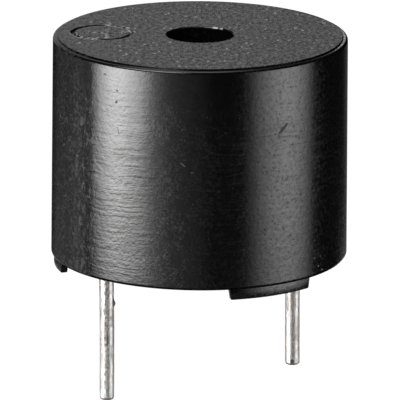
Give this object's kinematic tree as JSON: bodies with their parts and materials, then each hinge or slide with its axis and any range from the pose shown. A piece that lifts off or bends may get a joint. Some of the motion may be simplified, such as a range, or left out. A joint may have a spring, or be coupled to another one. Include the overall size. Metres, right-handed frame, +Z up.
{
  "type": "piezo buzzer",
  "caption": "Small round black piezo buzzer with a sound hole in its top, low standoff feet and straight tinned wire pins for a circuit board.",
  "frame": {"origin": "on the seating plane under the feet, midway between the two pins", "axes": "+Z up through the sound hole, -X towards the longer positive pin, +Y away from the picture's camera"},
  "size_m": [0.012, 0.012, 0.0153],
  "materials": {
    "case_plastic": "black moulded plastic, satin wall, matte top face",
    "tinned_wire": "bright tinned steel wire",
    "plate_brass": "rolled brass sheet",
    "piezo_ceramic": "fired ceramic",
    "silver_layer": "matt burnt-on silver",
    "adhesive": "white silicone",
    "board": "green glass-fibre board",
    "copper": "tinned-over copper foil",
    "transistor": "black moulding compound",
    "tinned_lead": "matt tin plating",
    "chip": "glazed chip ceramic",
    "wire_black": "wire insulation",
    "wire_red": "wire insulation",
    "wire_blue": "wire insulation",
    "solder": "bright solder",
    "resin": "cast black resin"
  },
  "bodies": {
    "root": {"case": "case_plastic", "positive_pin": "tinned_wire", "negative_pin": "tinned_wire", "base_potting": "resin", "piezo_plate": "plate_brass", "piezo_ceramic": "piezo_ceramic", "main_electrode": "silver_layer", "feedback_electrode": "silver_layer", "plate_adhesive": "adhesive", "circuit_board": "board", "copper_lands": "copper", "transistor_body": "transistor", "transistor_leads": "tinned_lead", "base_resistor": "chip", "load_resistor": "chip", "feedback_resistor": "chip", "resistor_caps": "tinned_lead", "plate_wire": "wire_black", "electrode_wire": "wire_red", "feedback_wire": "wire_blue", "wire_solder": "solder", "pin_solder": "solder"}
  },
  "joints": []
}
